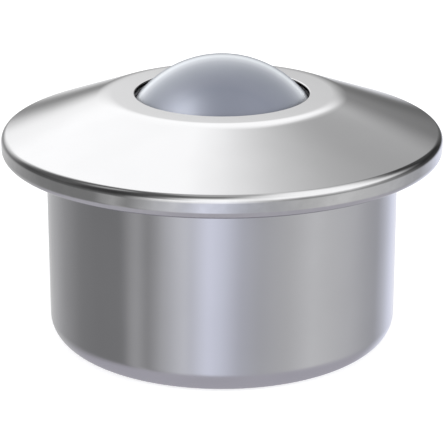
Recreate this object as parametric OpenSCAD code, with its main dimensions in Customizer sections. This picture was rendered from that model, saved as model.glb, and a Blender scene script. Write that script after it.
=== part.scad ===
// Flanged ball transfer unit, pressed from sheet steel.
// The load ball runs on a bed of small bearing balls in a hardened cup, so that goods roll over it in any
// direction. The cover is folded round the housing's flange and holds the whole stack together.
// Origin: on the axis, in the seat plane, which is the underside of the folded lip. +Z points at the load ball.

/* [Load ball] */
// Diameter of the load ball
ball_d = 22; // [20:0.5:24]
// Height of the load ball's top above the seat plane
ball_rise = 9.8; // [9:0.1:11]

/* [Housing] */
// Outer diameter of the shank that goes into the mounting hole
shank_d = 36; // [35:0.5:38]
// Depth of the shank below the seat plane
shank_depth = 19.7; // [19:0.1:26]
// Sheet thickness of the housing
housing_t = 0.8; // [0.6:0.05:1]
// Outer radius of the shank's bottom corner
corner_r = 2.5; // [1.5:0.1:4]

/* [Cover] */
// Outer diameter of the cover
cover_d = 45; // [44:0.5:50]
// Height of the flat ring round the opening, above the seat plane
cover_rise = 6.1; // [5.8:0.1:6.6]
// Sheet thickness of the cover
cover_t = 0.8; // [0.6:0.05:0.9]
// Width of the flat ring round the opening
flat_w = 2.25; // [1.5:0.05:3]
// Outer radius of the bend between the flat ring and the slope
brow_r = 4.7; // [2:0.1:6]
// Inner radius of the rim's two folds
fold_r = 0.05; // [0.02:0.01:0.15]
// Rounding of the opening's upper edge
edge_r = 0.15; // [0.05:0.05:0.3]

/* [Bearing balls] */
// Diameter of a bearing ball
bearing_d = 3; // [2.5:0.1:3.2]

/* [Ball cup] */
// Diameter of the foot that stands on the housing's floor
foot_d = 17; // [8:0.5:24]

/* [Retaining ring] */
// Thickness of the ring's flange
ring_t = 1.6; // [1:0.1:2]
// Wall of the collar round the felt
collar_t = 1.3; // [0.8:0.1:1.8]

/* [Felt seal] */
// Height of the felt at its outer wall
felt_h = 2.1; // [1.5:0.1:2.5]
// Radial width of the felt, counted from the opening's edge
felt_w = 3.9; // [3:0.1:4.5]

/* [Clearances] */
// Radial gap between the load ball and the opening's upper edge
opening_gap = 0.65; // [0.5:0.05:0.9]
// Gap between the load ball and the back of the opening's edge
edge_gap = 0.25; // [0.15:0.05:0.35]
// Gap between the load ball and the retaining ring
ring_gap = 0.25; // [0.15:0.05:0.4]
// Gap between the load ball and the felt
felt_gap = 0.1; // [0.05:0.05:0.2]
// Gap between a bearing ball and each of its two tracks
track_gap = 0.05; // [0.03:0.01:0.08]
// Gap between neighbouring bearing balls
bearing_gap = 0.05; // [0.03:0.01:0.1]
// Height of the retaining ring above the top row of bearing balls and the load ball's centre
row_gap = 0.3; // [0.1:0.1:0.5]
// Gap between the folded sheets, and between the cover and what it holds down
seam_gap = 0.03; // [0.02:0.01:0.05]
// Radial gap between the edge of the folded lip and the bend of the housing
lip_gap = 0.35; // [0.1:0.05:0.6]
// Radial gap between the housing's wall and what is pushed into it
bore_gap = 0.03; // [0.02:0.01:0.05]

/* [Hidden] */
$fn = 128;
ARC_STEP = 3; // degrees between two points of a bend
SINGLE_ROWS = 2; // rows whose balls are nodes of their own

STEEL = [0.74, 0.74, 0.77];
BALL_STEEL = [0.56, 0.58, 0.63];
HARD_STEEL = [0.5, 0.5, 0.53];
ACETAL = [0.12, 0.12, 0.13];
FELT = [0.22, 0.22, 0.24];

// Load ball
ball_r = ball_d / 2;
ball_z = ball_rise - ball_r;

// Rings of bearing balls: the first ring is six balls that touch the one at the pole, but for the gap
bearing_pitch = bearing_d + bearing_gap;
track_r = ball_r + track_gap + bearing_d / 2;
row_angle = asin(bearing_pitch / track_r);
rows = floor(90 / row_angle);

// Housing
shank_r = shank_d / 2;
bore_r = shank_r - housing_t;
floor_z = housing_t - shank_depth;
flange_z = cover_t + seam_gap;
flange_top_z = flange_z + housing_t;

// Cover: the slope is the line that touches both the brow's arc and the shoulder's arc
cover_r = cover_d / 2;
rim_r = fold_r + cover_t;
rim_x = cover_r - rim_r;
shoulder_z = flange_top_z + seam_gap - fold_r;
brow_z = cover_rise - brow_r;
opening_r = sqrt(pow(ball_r, 2) - pow(cover_rise - ball_z, 2)) + opening_gap;
flat_r = opening_r + flat_w;
slope = atan2(brow_z - shoulder_z, rim_x - flat_r)
    + asin((brow_r - rim_r) / norm([rim_x - flat_r, brow_z - shoulder_z]));
flange_r = rim_x - seam_gap;
lip_r = shank_r + flange_z + lip_gap;

// Ball cup and retaining ring
cup_r = track_r + bearing_d / 2 + track_gap;
cup_outer_r = bore_r - bore_gap;
cup_rim_z = max(ball_z, row_z(rows) + bearing_d / 2) + row_gap;
felt_r = opening_r + felt_w;
felt_floor_z = cover_back_z(felt_r) - seam_gap - felt_h;
collar_bore_r = felt_r + seam_gap;
collar_r = collar_bore_r + collar_t;

// Points of an arc round centre c, from angle a to angle b, which may run either way
function arc(c, r, a, b) =
    let (steps = max(2, ceil(abs(b - a) / ARC_STEP)))
    [for (i = [0:steps]) let (t = a + (b - a) * i / steps) c + r * [cos(t), sin(t)]];

// Height of the back of the cover's sheet at radius x, on the brow or on the slope
function cover_back_z(x) =
    let (back_r = brow_r - cover_t, run = max(0, x - flat_r))
    run < back_r * sin(slope)
        ? brow_z + sqrt(pow(back_r, 2) - pow(run, 2))
        : brow_z + (back_r - run * sin(slope)) / cos(slope);

// Rows of bearing balls, counted from the pole
function row_radius(row) = track_r * sin(row * row_angle);
function row_z(row) = ball_z - track_r * cos(row * row_angle);
function balls_in_row(row) =
    row <= SINGLE_ROWS ? 6 * row : floor(180 / asin(bearing_pitch / (2 * row_radius(row))));
function ball_name(row, i) = str("bearing_ball_row", row, "_", i);
function row_name(row) = str("bearing_balls_row", row);

// Room round the load ball, for what follows its surface
module ball_room(gap) {
    translate([0, 0, ball_z]) sphere(r = ball_r + gap);
}

// Deep-drawn cup: floor, corner, straight wall, then the bend out into the flange
module housing() {
    corner = [shank_r - corner_r, corner_r - shank_depth];
    bend = [shank_r + flange_z, 0];
    color(STEEL)
    rotate_extrude() polygon(concat(
        [[0, -shank_depth]],
        arc(corner, corner_r, -90, 0),
        arc(bend, flange_z, 180, 90),
        [[flange_r, flange_z], [flange_r, flange_top_z]],
        arc(bend, flange_top_z, 90, 180),
        arc(corner, corner_r - housing_t, 0, -90),
        [[0, floor_z]]
    ));
}

// Pressed cap: one sheet from the opening's edge over the slope and the rim to the lip under the flange
module cover() {
    brow = [flat_r, brow_z];
    shoulder = [rim_x, shoulder_z];
    heel = [rim_x, rim_r];
    color(STEEL)
    difference() {
        rotate_extrude() polygon(concat(
            arc([opening_r + edge_r, cover_rise - edge_r], edge_r, 180, 90),
            arc(brow, brow_r, 90, 90 - slope),
            arc(shoulder, rim_r, 90 - slope, 0),
            arc(heel, rim_r, 0, -90),
            [[lip_r, 0], [lip_r, cover_t]],
            arc(heel, fold_r, -90, 0),
            arc(shoulder, fold_r, 0, 90 - slope),
            arc(brow, brow_r - cover_t, 90 - slope, 90),
            [[opening_r, cover_rise - cover_t]]
        ));
        ball_room(edge_gap);
    }
}

// Hardened raceway: a half-round shell with a straight land at its rim and a flat foot
module ball_cup() {
    color(HARD_STEEL)
    difference() {
        union() {
            intersection() {
                translate([0, 0, ball_z]) sphere(r = cup_outer_r);
                translate([0, 0, floor_z]) cylinder(r = cup_outer_r, h = ball_z - floor_z);
            }
            translate([0, 0, ball_z]) cylinder(r = cup_outer_r, h = cup_rim_z - ball_z);
            translate([0, 0, floor_z]) cylinder(d = foot_d, h = ball_z - floor_z);
        }
        translate([0, 0, ball_z]) sphere(r = cup_r);
        translate([0, 0, ball_z]) cylinder(r = cup_r, h = ball_rise);
    }
}

// Ground ball that carries the goods
module load_ball() {
    color(BALL_STEEL)
    translate([0, 0, ball_z]) sphere(d = ball_d);
}

// Moulded ring: its flange lies on the cup's rim over the bearing balls, and its collar holds the felt
module retaining_ring() {
    color(ACETAL)
    difference() {
        rotate_extrude() polygon([
            [opening_r, cup_rim_z],
            [cup_outer_r, cup_rim_z],
            [cup_outer_r, cup_rim_z + ring_t],
            [collar_r, cup_rim_z + ring_t],
            [collar_r, cover_back_z(collar_r) - seam_gap],
            [collar_bore_r, cover_back_z(collar_bore_r) - seam_gap],
            [collar_bore_r, felt_floor_z],
            [opening_r, felt_floor_z]
        ]);
        ball_room(ring_gap);
    }
}

// Felt that wipes the load ball, under the opening's edge
module felt_seal() {
    color(FELT)
    difference() {
        rotate_extrude() polygon([
            [ball_r / 2, felt_floor_z],
            [felt_r, felt_floor_z],
            [felt_r, cover_back_z(felt_r) - seam_gap],
            [flat_r, cover_back_z(flat_r) - seam_gap],
            [ball_r / 2, cover_back_z(flat_r) - seam_gap]
        ]);
        ball_room(felt_gap);
    }
}

// One bearing ball at its place in a row; every second row is turned by half a step
module bearing_ball(row, i) {
    step = 360 / balls_in_row(row);
    color(BALL_STEEL)
    rotate([0, 0, step * (i + row % 2 / 2)])
    translate([row_radius(row), 0, row_z(row)])
    sphere(d = bearing_d);
}

module bearing_row(row) {
    for (i = [1:balls_in_row(row)]) bearing_ball(row, i);
}

module bearing_ball_pole() {
    color(BALL_STEEL)
    translate([0, 0, ball_z - track_r]) sphere(d = bearing_d);
}

housing();
cover();
ball_cup();
load_ball();
retaining_ring();
felt_seal();
bearing_ball_pole();
for (row = [1:SINGLE_ROWS], i = [1:balls_in_row(row)])
    bearing_ball(row, i);
for (row = [SINGLE_ROWS + 1:rows])
    bearing_row(row);
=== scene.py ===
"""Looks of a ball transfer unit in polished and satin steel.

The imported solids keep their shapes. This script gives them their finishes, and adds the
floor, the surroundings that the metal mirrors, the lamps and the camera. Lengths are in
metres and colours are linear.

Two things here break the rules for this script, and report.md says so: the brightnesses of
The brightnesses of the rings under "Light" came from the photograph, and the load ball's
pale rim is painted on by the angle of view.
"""

import math

import bpy
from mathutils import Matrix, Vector


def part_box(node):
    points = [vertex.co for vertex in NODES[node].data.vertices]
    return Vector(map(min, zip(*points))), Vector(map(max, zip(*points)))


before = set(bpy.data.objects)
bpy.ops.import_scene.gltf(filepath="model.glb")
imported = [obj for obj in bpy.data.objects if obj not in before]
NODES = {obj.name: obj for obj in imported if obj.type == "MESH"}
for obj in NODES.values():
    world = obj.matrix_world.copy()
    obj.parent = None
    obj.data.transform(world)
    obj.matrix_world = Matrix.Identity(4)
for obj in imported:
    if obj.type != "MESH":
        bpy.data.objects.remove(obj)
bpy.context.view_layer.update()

MM = 0.001

# Places on the part
COVER_R = 22.50 * MM
OPENING_R = 8.88 * MM
CUP_RIM_Z = -0.63 * MM
BOTTOM_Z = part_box("housing")[0].z

# Camera
SENSOR = 36.0                   # mm
LENS = 159.2027                 # mm
PITCH = math.radians(19.21)     # above the horizon
CAMERA_DISTANCE = 204.07 * MM
LOOK_AT = (0.0, 0.0, -7.903 * MM)
CLIP = (0.01, 10.0)

# Noise: cycles a metre, detail, roughness
LINES = (1 / (0.05 * MM), 3.0, 0.5)
FLOW_MARKS = (700.0, 3.0, 0.5)
FIBRES = (5200.0, 6.0, 0.7)
NOISE_MIDDLE = 0.5

# Patches: the same three, then the two levels of the noise between which they fade in
CLOUDS = (120.0, 2.0, 0.5, 0.35, 0.65)
SMUDGES = (900.0, 6.0, 0.65, 0.45, 0.75)
RUBS = (900.0, 4.0, 0.5, 0.40, 0.70)
HAZE = (260.0, 3.0, 0.5, 0.35, 0.70)
ROLLING_MARKS = (2600.0, 2.0, 0.5, 0.62, 0.74)
CLUMPS = (1500.0, 3.0, 0.5, 0.40, 0.70)

# How much faster the noise changes along X, Y and Z
MARK_STRETCH = (1.0, 0.08, 0.3)
FLOW_STRETCH = (1.0, 1.0, 3.0)
FIBRE_STRETCH = (1.0, 1.0, 2.2)

# Sheet steel
COVER_STEEL = (0.80, 0.80, 0.81)
HOUSING_STEEL = (0.78, 0.78, 0.81)
RACE_STEEL = (0.55, 0.55, 0.58)
RUBBED = (0.88, 0.88, 0.89)
# The next colour is painted shade, for the crease under the cover's rolled edge.
FOLD_PAINTED_SHADE = (0.10, 0.10, 0.11)
CLOUD_SHADE = 0.975             # brightness of a cloud over that of the plain metal
RUBBED_SHARE = 0.5
FOLD_PAINTED_SHADE_SHARE = 0.75
SMUDGE_ROUGHNESS = 0.02
LINE_ROUGHNESS = 0.05
LINE_DEPTH = 0.004 * MM

# Balls
BEARING_STEEL = (0.74, 0.75, 0.78)
HAZE_SHADE = 0.95
LOAD_STEEL = (0.208, 0.225, 0.281)
LOAD_HAZE = (0.202, 0.219, 0.274)
# The next colour is a painted reflection: the pale colour that the ball's base colour turns to
# towards its outline.
LOAD_RIM_PAINTED_LIGHT = (0.90, 0.94, 0.99)
# Share of the painted rim reflection's colour, from where a face points at the eye, 0, to
# where it turns away, 1.
# It isn't gloss or sheen: it changes the base colour. It was tuned against rows of
# brightness that were read off the photograph.
LOAD_RIM_PAINTED_SHARE = [(0.26, 0.0), (0.37, 0.06), (0.44, 0.11), (0.49, 0.15), (0.54, 0.22),
                  (0.61, 0.36), (0.70, 0.72), (0.75, 1.0), (0.80, 1.0), (0.84, 0.72),
                  (0.88, 0.42), (1.0, 0.25)]
HAZE_ROUGHNESS = 0.03
MARK_ROUGHNESS = 0.05
MARK_DEPTH = 0.002 * MM

# Acetal ring and felt
ACETAL_DARK = (0.012, 0.012, 0.014)
ACETAL_LIGHT = (0.028, 0.028, 0.032)
ACETAL_ROUGHNESS = 0.38
FLOW_ROUGHNESS = 0.2
FLOW_DEPTH = 0.02 * MM
FELT_DARK = (0.240, 0.245, 0.262)
FELT_LIGHT = (0.560, 0.565, 0.580)
FELT_CLUMP = (0.340, 0.345, 0.360)
FIBRE_DEPTH = 0.12 * MM

# Mesh clean-up
SEAM_GAP = 0.001 * MM
EDGE_ANGLE = math.radians(30)

# Light
WHITE = (1.0, 1.0, 1.0)
FLOOR_PALE = (0.9, 0.9, 0.9)
FLOOR_GLOW = 0.55               # what the camera sees on top of the light that falls on it
FLOOR_HALF = 2.0
FLOOR_Z = BOTTOM_Z - 0.01 * MM  # clear of the housing's own underside
FILL = 0.62                     # even light from all round, on what isn't mirrored
LAMP_DISTANCE = 0.5
HALF_TURN = 180                 # degrees
GREEN_OF_BLUE = 0.15            # how much green comes with the blue of a ring's stop

# What the metal mirrors, in place of the white background, is a stack of rings, each with a
# brightness that changes round it. A stop is (degrees, brightness) and may end with a share
# of blue: 0 degrees is behind the object, 180 in front, and + goes round on its right.
# These aren't a lighting plan. Scratch programs worked out which way each spot of the metal
# mirrors and read the photograph's brightness there, and the numbers were thinned out,
# divided by the metal's own brightness and then tuned by hand.
LOW_RING = [(-180, 0.66, .17), (-171, 0.76, .17), (-160, 0.57, .10), (-155, 0.62, .06),
            (-148, 0.52, .05), (-141, 0.42, .02), (-131, 0.25), (-123, 0.38), (-117, 0.32),
            (-112, 0.20), (-90, 0.20), (-74, 0.22), (-55, 0.32), (-37, 0.46), (-20, 0.58),
            (-8, 0.85), (12, 0.92, .08), (31, 0.78, .18), (46, 0.54, .12), (58, 0.38, .06),
            (70, 0.42, .04), (86, 0.51, .02), (105, 0.56), (119, 0.61), (136, 0.50),
            (155, 0.43, .05), (168, 0.47, .12), (180, 0.66, .17)]
HORIZON_RING = [(-180, 1.00, .08), (-165, 0.90), (-149, 0.74), (-138, 0.40), (-129, 0.14),
                (-111, 0.12), (-92, 0.10), (-68, 0.09), (-58, 0.12), (-34, 0.30),
                (-17, 0.34), (-9, 0.28), (-5, 0.40), (0, 0.50), (4, 0.42), (7, 0.24),
                (11, 0.15), (26, 0.08), (34, 0.04), (59, 0.06), (80, 0.20), (114, 0.36),
                (141, 0.28), (155, 0.45), (180, 1.00, .08)]
MID_RING = [(-180, 1.18, .04), (-158, 1.10), (-149, 0.92), (-140, 0.45), (-130, 0.08),
            (-111, 0.06), (-92, 0.08), (-65, 0.07), (-57, 0.13), (-50, 0.32), (-40, 0.62),
            (-30, 0.85), (-18, 1.08), (-10, 0.92), (-4, 0.79), (0, 0.69), (4, 0.60),
            (7, 0.49), (11, 0.35), (18, 0.21), (27, 0.10), (34, 0.03), (57, 0.03),
            (72, 0.10), (82, 0.18), (113, 0.62), (130, 0.55), (141, 0.46), (161, 0.70),
            (180, 1.18, .04)]
HIGH_RING = [(-180, 1.20), (-168, 1.12), (-158, 0.70), (-147, 0.26), (-136, 0.08),
             (-122, 0.04), (-104, 0.05), (-90, 0.11), (-68, 0.10), (-58, 0.18), (-53, 0.34),
             (-45, 0.78), (-35, 1.20), (-4, 1.22), (4, 1.20), (8, 1.20), (12, 1.02),
             (16, 0.63), (21, 0.47), (26, 0.42), (30, 0.08), (52, 0.04), (62, 0.20),
             (74, 0.66), (90, 1.05), (104, 1.17), (146, 1.12), (162, 1.02), (180, 1.20)]
ROOF_RING = [(-180, 0.40), (-166, 0.34), (-150, 0.14), (-135, 0.10), (-108, 0.09),
             (-97, 0.30), (-88, 0.44), (-79, 0.30), (-66, 0.10), (-50, 0.14), (-39, 0.50),
             (-27, 1.18), (-10, 1.18), (0, 1.03), (7, 0.88), (14, 0.71), (22, 0.58),
             (34, 0.42), (46, 0.66), (60, 0.80), (75, 1.02), (90, 1.14), (125, 1.14),
             (145, 0.95), (158, 0.78), (170, 0.56), (180, 0.40)]
TOP_RING = [(-180, 0.12), (-104, 0.11), (-72, 0.12), (-42, 0.32), (-20, 0.50), (0, 0.50),
            (30, 0.66), (50, 0.90), (95, 1.12), (120, 1.00), (143, 0.74), (165, 0.30),
            (180, 0.12)]
# Each ring with the heights, in degrees above the horizon, between which it fades in
RINGS = ((LOW_RING, -44, -26), (HORIZON_RING, -15, -1), (MID_RING, -1, 15),
         (HIGH_RING, 12, 27), (ROOF_RING, 38, 58), (TOP_RING, 61, 69))
GROUND = (0.42, 0.41, 0.45)
ZENITH = (0.42, 0.42, 0.42)
TO_ZENITH = (70, 83)


# ---------------------------------------------------------------- node helpers
def rgba(colour):
    """A colour with full alpha. A socket stays as it is."""
    return colour if isinstance(colour, bpy.types.NodeSocket) else (*colour, 1.0)


def shaded(colour, factor):
    return tuple(factor * c for c in colour)


class Shader:
    """A small wrapper that adds and links nodes in a material's or world's tree."""

    def __init__(self, tree):
        self.tree = tree
        self.nodes = tree.nodes
        self.nodes.clear()

    def add(self, kind, **settings):
        node = self.nodes.new("ShaderNode" + kind)
        for name, value in settings.items():
            setattr(node, name, value)
        return node

    def link(self, a, b):
        self.tree.links.new(a, b)

    def put(self, value, socket):
        """Sets a socket's value, or links it when value is a socket."""
        if isinstance(value, bpy.types.NodeSocket):
            self.link(value, socket)
        else:
            socket.default_value = value

    def fill(self, node, values):
        """Puts values into a node's first inputs, in order."""
        for socket, value in zip(node.inputs, values):
            self.put(value, socket)
        return node

    def math(self, operation, *values):
        return self.fill(self.add("Math", operation=operation), values).outputs[0]

    def plus(self, base, value, share):
        """Base plus a share of value."""
        return self.math("ADD", base, self.math("MULTIPLY", value, share))

    def band(self, value, low, high):
        """Smooth step of value, from 0 at low to 1 at high."""
        node = self.add("MapRange", interpolation_type="SMOOTHSTEP", clamp=True)
        return self.fill(node, (value, low, high, 0.0, 1.0)).outputs[0]

    def span(self, value, low, high):
        """Value as a share of the way from low to high."""
        node = self.add("MapRange", clamp=True)
        return self.fill(node, (value, low, high, 0.0, 1.0)).outputs[0]

    def ramp(self, value, stops):
        """Straight colour ramp over (place, colour) stops."""
        node = self.add("ValToRGB")
        strip = node.color_ramp
        strip.interpolation = "LINEAR"
        while len(strip.elements) < len(stops):
            strip.elements.new(0.5)
        for element, (place, colour) in zip(strip.elements, stops):
            element.position = place
            element.color = rgba(colour)
        self.put(value, node.inputs[0])
        return node.outputs[0]

    def mix(self, factor, a, b):
        """Colour a where factor is 0 and b where it is 1."""
        node = self.add("Mix", data_type="RGBA")
        self.put(factor, node.inputs[0])
        self.put(rgba(a), node.inputs[6])
        self.put(rgba(b), node.inputs[7])
        return node.outputs[2]

    def either(self, factor, a, b):
        """Shader a where factor is 0 and b where it is 1."""
        return self.fill(self.add("MixShader"), (factor, a, b)).outputs[0]

    def background(self, colour):
        return self.fill(self.add("Background"), [rgba(colour)]).outputs[0]

    def noise(self, scale, detail, roughness, vector=None, stretch=None):
        """Noise in the object's frame, or at vector; stretch scales each axis."""
        node = self.add("TexNoise")
        if vector is None:
            vector = self.add("TexCoord").outputs["Object"]
        if stretch:
            mapping = self.add("Mapping")
            self.link(vector, mapping.inputs[0])
            mapping.inputs["Scale"].default_value = stretch
            vector = mapping.outputs[0]
        self.link(vector, node.inputs["Vector"])
        node.inputs["Scale"].default_value = scale
        node.inputs["Detail"].default_value = detail
        node.inputs["Roughness"].default_value = roughness
        return node.outputs["Fac"]

    def patches(self, scale, detail, roughness, low, high, stretch=None):
        """Noise as patches that fade in between two of its levels."""
        return self.band(self.noise(scale, detail, roughness, stretch=stretch), low, high)

    def bump(self, height, strength, depth):
        """A surface direction from a height between 0 and 1 that stands for a depth."""
        node = self.add("Bump")
        node.inputs["Strength"].default_value = strength
        node.inputs["Distance"].default_value = depth
        self.link(height, node.inputs["Height"])
        return node.outputs[0]


def material(name):
    """A new material with its Shader and its Principled BSDF."""
    mat = bpy.data.materials.new(name)
    mat.use_nodes = True
    shader = Shader(mat.node_tree)
    out = shader.add("OutputMaterial")
    bsdf = shader.add("BsdfPrincipled")
    shader.link(bsdf.outputs[0], out.inputs[0])
    return mat, shader, bsdf


def split(shader, vector):
    """The x, y and z sockets of a vector."""
    xyz = shader.add("SeparateXYZ")
    shader.link(vector, xyz.inputs[0])
    return xyz.outputs


# ------------------------------------------------------------------- materials
def turned_place(shader):
    """Radius from the axis and height, as sockets in metres."""
    x, y, z = split(shader, shader.add("TexCoord").outputs["Object"])
    square = shader.math(
        "ADD", shader.math("MULTIPLY", x, x), shader.math("MULTIPLY", y, y))
    return shader.math("SQRT", square), z


def turned_lines(shader, radius, height):
    """Fine circular tool lines: noise that runs only along the section of a turned part."""
    point = shader.fill(shader.add("CombineXYZ"), (radius, height))
    return shader.noise(*LINES, vector=point.outputs[0])


def edge_wear(shader, places):
    """Share of rubbed metal: full where places says, as (socket, start, full), in patches."""
    rubbed = 0.0
    for value, start, full in places:
        rubbed = shader.math("MAXIMUM", shader.band(value, start, full), rubbed)
    return shader.math("MULTIPLY", rubbed, shader.patches(*RUBS))


def sheet_colour(s, base, wear, height, painted_shade):
    """Soft clouding, then the rubbed places, then painted shade that deepens between the
    heights given.
    """
    colour = s.mix(s.patches(*CLOUDS), base, shaded(base, CLOUD_SHADE))
    colour = s.mix(s.math("MULTIPLY", wear, RUBBED_SHARE), colour, RUBBED)
    if painted_shade:
        # Painted shade: darker towards the corner of the fold.
        fold_shade = s.math("MULTIPLY", s.band(height, *painted_shade), FOLD_PAINTED_SHADE_SHARE)
        colour = s.mix(fold_shade, colour, FOLD_PAINTED_SHADE)
    return colour


def sheet_roughness(s, roughness, lines):
    """Faint smudges, and the turned lines."""
    rough = s.plus(roughness, s.patches(*SMUDGES), SMUDGE_ROUGHNESS)
    return s.plus(rough, s.math("SUBTRACT", lines, NOISE_MIDDLE), LINE_ROUGHNESS)


def steel(name, base, roughness, anisotropy, rotation, line_bump, worn, painted_shade=None):
    """Worked steel: soft clouding, fine turned lines, faint smudges, rubbed edges.

    worn is a list of ("radius" or "height", start, full), and the last argument is (start,
    full), two heights between which painted shade comes in. What lies beyond full is rubbed or
    in painted shade, and what lies before start isn't.
    """
    mat, s, bsdf = material(name)
    radius, height = turned_place(s)
    sockets = {"radius": radius, "height": height}
    wear = edge_wear(s, [(sockets[axis], start, full) for axis, start, full in worn])
    lines = turned_lines(s, radius, height)
    s.link(sheet_colour(s, base, wear, height, painted_shade), bsdf.inputs["Base Color"])
    s.link(sheet_roughness(s, roughness, lines), bsdf.inputs["Roughness"])
    s.link(s.bump(lines, line_bump, LINE_DEPTH), bsdf.inputs["Normal"])
    tangent = s.add("Tangent", direction_type="RADIAL", axis="Z")
    s.link(tangent.outputs[0], bsdf.inputs["Tangent"])
    bsdf.inputs["Metallic"].default_value = 1.0
    bsdf.inputs["Anisotropic"].default_value = anisotropy
    bsdf.inputs["Anisotropic Rotation"].default_value = rotation
    return mat


def cover_steel():
    """Polished; rubbed at the rim and at the opening, with painted shade in the corner of the
    fold.
    """
    rim = ("radius", COVER_R - 0.20 * MM, COVER_R - 0.02 * MM)
    opening = ("radius", OPENING_R + 0.27 * MM, OPENING_R + 0.07 * MM)
    return steel("cover_polished_steel", COVER_STEEL, roughness=0.07, anisotropy=0.25,
                 rotation=0.0, line_bump=0.08, worn=[rim, opening],
                 painted_shade=(0.30 * MM, 0.06 * MM))


def housing_steel():
    """Brushed upwards by the drawing; rubbed on its bottom corner."""
    corner = ("height", BOTTOM_Z + 0.70 * MM, BOTTOM_Z + 0.10 * MM)
    return steel("housing_brushed_steel", HOUSING_STEEL, roughness=0.17, anisotropy=0.60,
                 rotation=0.25, line_bump=0.12, worn=[corner])


def race_steel():
    """Hard and ground; run bright near the cup's rim."""
    rim = ("height", CUP_RIM_Z - 1.37 * MM, CUP_RIM_Z - 0.07 * MM)
    return steel("raceway_hard_steel", RACE_STEEL, roughness=0.22, anisotropy=0.2,
                 rotation=0.0, line_bump=0.15, worn=[rim])


def ball_surface(s, bsdf, roughness):
    """Roughness and relief of a ball that has rolled; returns its haze as a socket."""
    haze = s.patches(*HAZE)
    marks = s.patches(*ROLLING_MARKS, stretch=MARK_STRETCH)
    rough = s.plus(s.plus(roughness, haze, HAZE_ROUGHNESS), marks, MARK_ROUGHNESS)
    s.link(rough, bsdf.inputs["Roughness"])
    s.link(s.bump(marks, strength=0.03, depth=MARK_DEPTH), bsdf.inputs["Normal"])
    return haze


def bearing_steel():
    """Ground and polished bearing steel with faint rolling marks."""
    mat, s, bsdf = material("bearing_ball_steel")
    haze = ball_surface(s, bsdf, roughness=0.10)
    colour = s.mix(haze, BEARING_STEEL, shaded(BEARING_STEEL, HAZE_SHADE))
    s.link(colour, bsdf.inputs["Base Color"])
    bsdf.inputs["Metallic"].default_value = 1.0
    return mat


def load_steel():
    """Satin blue-grey steel. Its pale rim is a painted reflection, put into the base colour by
    Layer Weight, not mirrored.
    """
    mat, s, bsdf = material("load_ball_steel")
    haze = ball_surface(s, bsdf, roughness=0.45)
    body = s.mix(haze, LOAD_STEEL, LOAD_HAZE)
    facing = s.add("LayerWeight").outputs["Facing"]
    # Painted reflection: the base colour turns paler towards the outline.
    rim = s.ramp(facing, [(at, (share, share, share)) for at, share in LOAD_RIM_PAINTED_SHARE])
    s.link(s.mix(rim, body, LOAD_RIM_PAINTED_LIGHT), bsdf.inputs["Base Color"])
    bsdf.inputs["Metallic"].default_value = 0.20
    bsdf.inputs["Specular IOR Level"].default_value = 0.75
    return mat


def acetal():
    """Moulded black acetal: satin, with faint flow marks."""
    mat, s, bsdf = material("ring_acetal")
    flow = s.noise(*FLOW_MARKS, stretch=FLOW_STRETCH)
    s.link(s.mix(flow, ACETAL_DARK, ACETAL_LIGHT), bsdf.inputs["Base Color"])
    s.link(s.plus(ACETAL_ROUGHNESS, flow, FLOW_ROUGHNESS), bsdf.inputs["Roughness"])
    s.link(s.bump(flow, strength=0.15, depth=FLOW_DEPTH), bsdf.inputs["Normal"])
    return mat


def felt():
    """Pressed grey wool felt: tangled fibres and a soft sheen."""
    mat, s, bsdf = material("seal_felt")
    fibres = s.noise(*FIBRES, stretch=FIBRE_STRETCH)
    tone = s.mix(s.patches(*CLUMPS), s.mix(fibres, FELT_DARK, FELT_LIGHT), FELT_CLUMP)
    s.link(tone, bsdf.inputs["Base Color"])
    s.link(s.bump(fibres, strength=0.8, depth=FIBRE_DEPTH), bsdf.inputs["Normal"])
    bsdf.inputs["Roughness"].default_value = 0.95
    bsdf.inputs["Specular IOR Level"].default_value = 0.2
    bsdf.inputs["Sheen Weight"].default_value = 0.25
    return mat


def smooth_shading(obj):
    """Joins the mesh's split seams and shades it smooth up to its real edges."""
    weld = obj.modifiers.new("join_seams", "WELD")
    weld.merge_threshold = SEAM_GAP
    edges = obj.modifiers.new("real_edges", "EDGE_SPLIT")
    edges.split_angle = EDGE_ANGLE
    even = obj.modifiers.new("even_normals", "WEIGHTED_NORMAL")
    even.weight = 100           # the largest face round a corner sets its normal


def dress_nodes():
    """Gives each CAD node its finish. Nodes that aren't named here are bearing balls."""
    bearing = bearing_steel()
    finishes = {
        "housing": housing_steel(), "cover": cover_steel(), "ball_cup": race_steel(),
        "load_ball": load_steel(), "retaining_ring": acetal(), "felt_seal": felt(),
    }
    for name, obj in NODES.items():
        obj.data.materials.clear()
        obj.data.materials.append(finishes.get(name, bearing))
        smooth_shading(obj)
    NODES["load_ball"].visible_glossy = False   # the cover doesn't mirror it


# ---------------------------------------------------------------- surroundings
def ring_stops(ring):
    """A ring's stops as ramp stops, from 0 at -180 degrees to 1 at 180."""
    stops = []
    for degrees, brightness, *blue in ring:
        tint = sum(blue)
        colour = (brightness, brightness * (1 + GREEN_OF_BLUE * tint), brightness * (1 + tint))
        stops.append(((degrees + HALF_TURN) / (2 * HALF_TURN), colour))
    return stops


def mirrored_colour(s):
    """Colour of the surroundings by direction: the rings, from the ground to the zenith."""
    x, y, z = split(s, s.add("TexCoord").outputs["Generated"])
    to_degrees = HALF_TURN / math.pi
    azimuth = s.math("MULTIPLY", s.math("ARCTAN2", x, y), to_degrees)
    height = s.math("MULTIPLY", s.math("ARCSINE", z), to_degrees)
    turn = s.span(azimuth, -HALF_TURN, HALF_TURN)
    colour = GROUND
    for ring, low, high in RINGS:
        colour = s.mix(s.band(height, low, high), colour, s.ramp(turn, ring_stops(ring)))
    return s.mix(s.band(height, *TO_ZENITH), colour, ZENITH)


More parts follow.
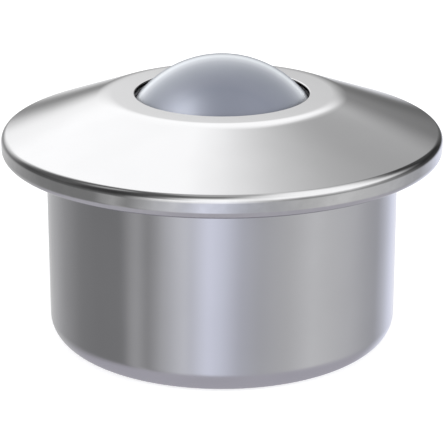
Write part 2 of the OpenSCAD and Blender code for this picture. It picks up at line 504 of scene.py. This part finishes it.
def studio_world():
    """The rings where metal mirrors them, even light elsewhere, and white to the camera."""
    world = bpy.data.worlds.new("studio")
    bpy.context.scene.world = world
    world.use_nodes = True
    s = Shader(world.node_tree)
    path = s.add("LightPath")
    fill = s.background((FILL, FILL, FILL))
    mirrored = s.background(mirrored_colour(s))
    lit_by = s.either(path.outputs["Is Glossy Ray"], fill, mirrored)
    seen = s.either(path.outputs["Is Camera Ray"], lit_by, s.background(WHITE))
    s.link(seen, s.add("OutputWorld").inputs[0])


def floor_material():
    """White with a soft shadow to the camera; metal and a camera under it see through it."""
    mat = bpy.data.materials.new("floor_pale")
    mat.use_nodes = True
    s = Shader(mat.node_tree)
    path = s.add("LightPath")
    matte = s.fill(s.add("BsdfDiffuse"), [rgba(FLOOR_PALE)]).outputs[0]
    glow = s.fill(s.add("Emission"), [rgba(WHITE), FLOOR_GLOW]).outputs[0]
    bright = s.fill(s.add("AddShader"), [matte, glow]).outputs[0]
    clear = s.add("BsdfTransparent").outputs[0]
    other = s.either(path.outputs["Is Glossy Ray"], matte, clear)
    above = s.either(path.outputs["Is Camera Ray"], other, bright)
    below = s.add("NewGeometry").outputs["Backfacing"]
    s.link(s.either(below, above, clear), s.add("OutputMaterial").inputs[0])
    return mat


def studio_floor():
    """Pale floor that the unit stands on."""
    mesh = bpy.data.meshes.new("floor")
    corners = [(-1, -1), (1, -1), (1, 1), (-1, 1)]
    points = [(x * FLOOR_HALF, y * FLOOR_HALF, 0) for x, y in corners]
    mesh.from_pydata(points, [], [(0, 1, 2, 3)])
    mesh.materials.append(floor_material())
    floor = bpy.data.objects.new("floor", mesh)
    floor.location.z = FLOOR_Z
    bpy.context.scene.collection.objects.link(floor)


def area_lamp(name, toward, size, power):
    """Soft round lamp that stands toward a direction and aims at the ball; not mirrored."""
    lamp = bpy.data.lights.new(name, "AREA")
    lamp.shape = "DISK"
    lamp.size = size
    lamp.energy = power
    obj = bpy.data.objects.new(name, lamp)
    bpy.context.scene.collection.objects.link(obj)
    away = Vector(toward).normalized()
    obj.location = LAMP_DISTANCE * away
    obj.rotation_euler = (-away).to_track_quat("-Z", "Y").to_euler()
    obj.visible_glossy = False
    return obj


def ball_gleam(name, toward, size, power):
    """A lamp that only puts a soft gleam on the load ball."""
    obj = area_lamp(name, toward, size, power)
    obj.visible_glossy = True
    obj.visible_diffuse = False
    lit = bpy.data.collections.new("lit_by_" + name)
    lit.objects.link(NODES["load_ball"])
    obj.light_linking.receiver_collection = lit


def studio_camera():
    """Level camera in front, PITCH above the horizon, aimed at LOOK_AT."""
    data = bpy.data.cameras.new("camera")
    data.sensor_width = SENSOR
    data.lens = LENS
    data.clip_start, data.clip_end = CLIP
    cam = bpy.data.objects.new("camera", data)
    bpy.context.scene.collection.objects.link(cam)
    back = Vector((0.0, -math.cos(PITCH), math.sin(PITCH)))
    cam.location = Vector(LOOK_AT) + CAMERA_DISTANCE * back
    cam.rotation_euler = (math.pi / 2 - PITCH, 0.0, 0.0)
    bpy.context.scene.camera = cam


dress_nodes()
studio_world()
studio_floor()
area_lamp("soft_key", toward=(-0.80, -0.50, 0.22), size=0.40, power=1.6)
area_lamp("soft_side", toward=(0.92, -0.36, 0.14), size=0.40, power=2.1)
ball_gleam("gleam", toward=(-0.63, -0.17, 0.74), size=0.28, power=2.2)
studio_camera()
bpy.context.scene.view_settings.view_transform = "Standard"
